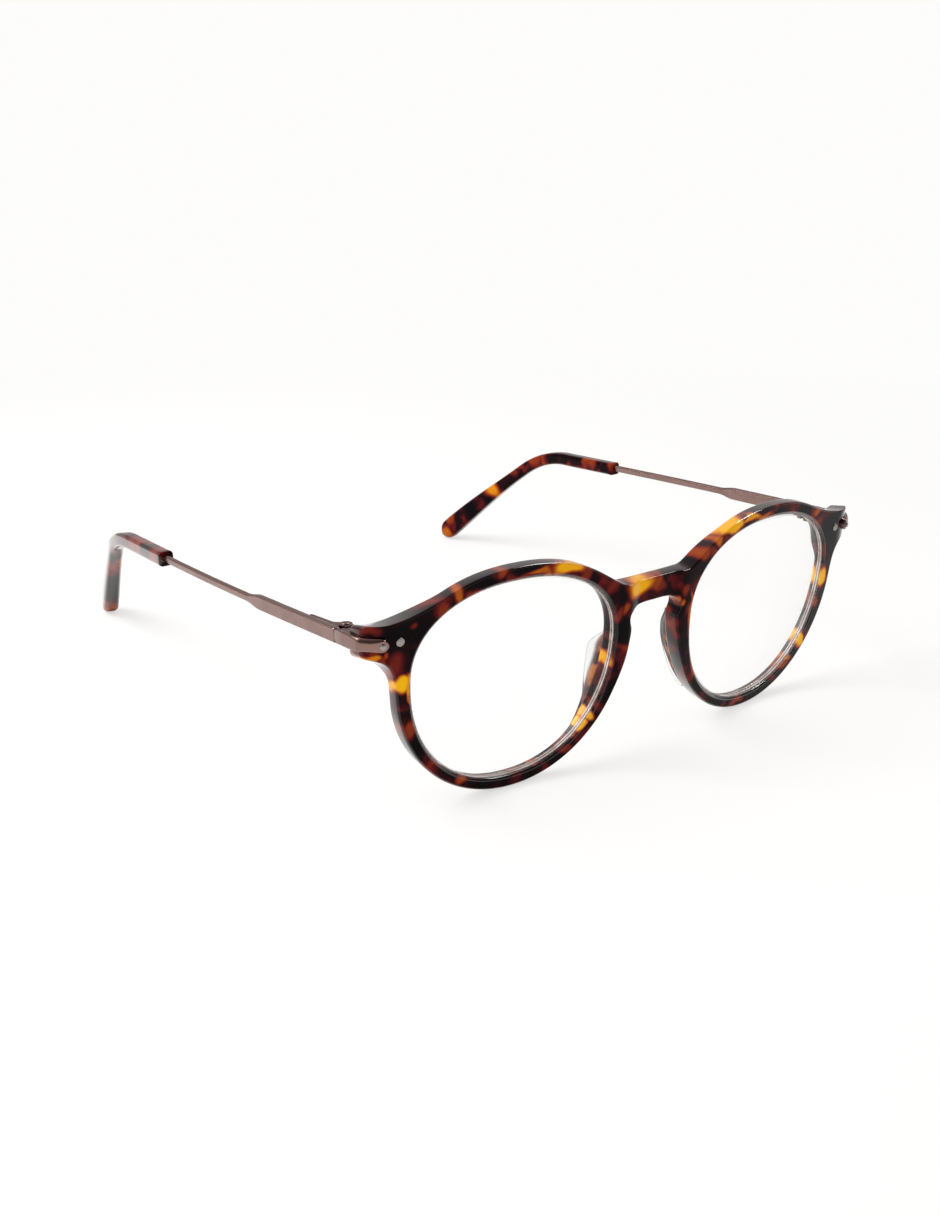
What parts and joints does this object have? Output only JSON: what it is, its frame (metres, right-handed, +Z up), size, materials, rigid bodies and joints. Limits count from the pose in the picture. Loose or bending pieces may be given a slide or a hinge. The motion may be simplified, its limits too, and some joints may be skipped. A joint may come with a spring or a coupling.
{
  "type": "reading glasses",
  "caption": "Round keyhole-bridge reading glasses with a mottled acetate front, clear lenses and nose pads, and slim folding metal temples with curved acetate tips.",
  "frame": {"origin": "on the table, under the middle of the glasses' bounding box, with the temples open and the glasses standing on the rims and the temple tips", "axes": "+Z up, the front faces -Y, the temples run back to +Y, +X is the wearer's left"},
  "size_m": [0.1338, 0.1524, 0.0457],
  "materials": {
    "front_acetate": "polished mottled brown and amber acetate",
    "tip_acetate": "polished mottled brown and amber acetate",
    "lens_clear": "clear polished lens with an anti-reflection look",
    "pad_clear": "clear polished acetate",
    "strip_metal": "satin bronze-grey plating",
    "temple_metal": "satin bronze-grey plating",
    "hinge_metal": "satin bronze-grey plating, polished barrels",
    "screw_metal": "bright steel"
  },
  "bodies": {
    "front": {"front": "front_acetate", "lens_left": "lens_clear", "lens_right": "lens_clear", "nose_pad_left": "pad_clear", "nose_pad_right": "pad_clear", "corner_strip_left": "strip_metal", "corner_strip_right": "strip_metal", "strip_rivet_left": "screw_metal", "strip_rivet_right": "screw_metal", "face_pin_left": "screw_metal", "face_pin_right": "screw_metal", "front_hinge_left": "hinge_metal", "front_hinge_right": "hinge_metal", "hinge_screw_left": "screw_metal", "hinge_screw_right": "screw_metal"},
    "temple_left": {"temple_left": "temple_metal", "temple_hinge_left": "hinge_metal", "tip_left": "tip_acetate"},
    "temple_right": {"temple_right": "temple_metal", "temple_hinge_right": "hinge_metal", "tip_right": "tip_acetate"}
  },
  "joints": [
    {"name": "temple_left_fold", "type": "hinge", "parent": "front", "child": "temple_left", "pos_m": [0.0618, -0.0605, 0.0356], "axis": [0, 0, 1], "range_deg": [0, 88]},
    {"name": "temple_right_fold", "type": "hinge", "parent": "front", "child": "temple_right", "pos_m": [-0.0618, -0.0605, 0.0356], "axis": [0, 0, -1], "range_deg": [0, 80]}
  ]
}
